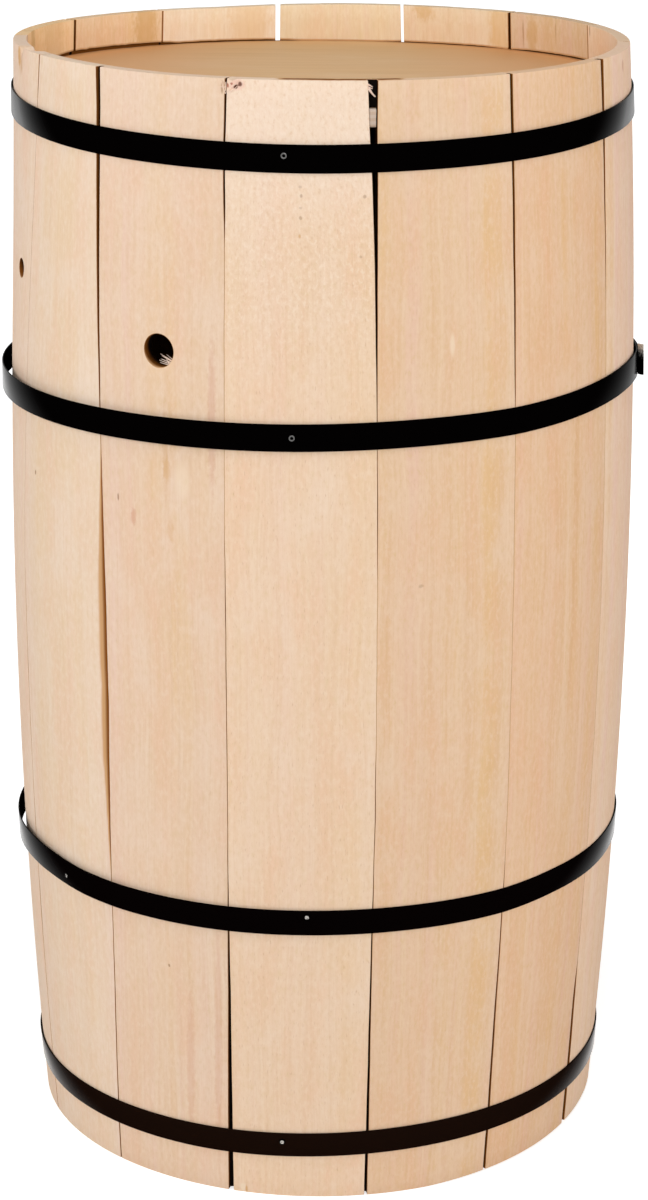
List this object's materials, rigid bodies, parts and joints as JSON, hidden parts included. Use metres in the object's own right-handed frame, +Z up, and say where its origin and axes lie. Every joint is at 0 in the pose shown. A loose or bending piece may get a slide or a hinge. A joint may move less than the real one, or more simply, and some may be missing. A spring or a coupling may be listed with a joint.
{
  "type": "wooden barrel",
  "caption": "Coopered wooden barrel of bent staves with recessed flat heads and black riveted steel hoops, drilled through the side for a tap; stands on its end.",
  "frame": {"origin": "on the barrel's axis, at the surface that it stands on", "axes": "+Z up along the barrel's axis, -Y towards the front, which is the side that the picture shows, and +X to its right"},
  "size_m": [0.4517, 0.448, 0.778],
  "materials": {
    "stave_wood": "planed and untreated, pale",
    "head_wood": "sanded plywood, untreated",
    "hoop_steel": "satin black paint",
    "nail_steel": "bare, slightly dull"
  },
  "bodies": {
    "root": {"stave_01": "stave_wood", "stave_02": "stave_wood", "stave_03": "stave_wood", "stave_04": "stave_wood", "stave_05": "stave_wood", "stave_06": "stave_wood", "stave_07": "stave_wood", "stave_08": "stave_wood", "stave_09": "stave_wood", "stave_10": "stave_wood", "stave_11": "stave_wood", "stave_12": "stave_wood", "stave_13": "stave_wood", "stave_14": "stave_wood", "top_head": "head_wood", "bottom_head": "head_wood", "top_hoop": "hoop_steel", "upper_bilge_hoop": "hoop_steel", "lower_bilge_hoop": "hoop_steel", "bottom_hoop": "hoop_steel", "top_hoop_rivet": "hoop_steel", "upper_bilge_hoop_rivet": "hoop_steel", "lower_bilge_hoop_rivet": "hoop_steel", "bottom_hoop_rivet": "hoop_steel", "top_hoop_nails": "nail_steel", "upper_bilge_hoop_nails": "nail_steel", "lower_bilge_hoop_nails": "nail_steel", "bottom_hoop_nails": "nail_steel"}
  },
  "joints": []
}
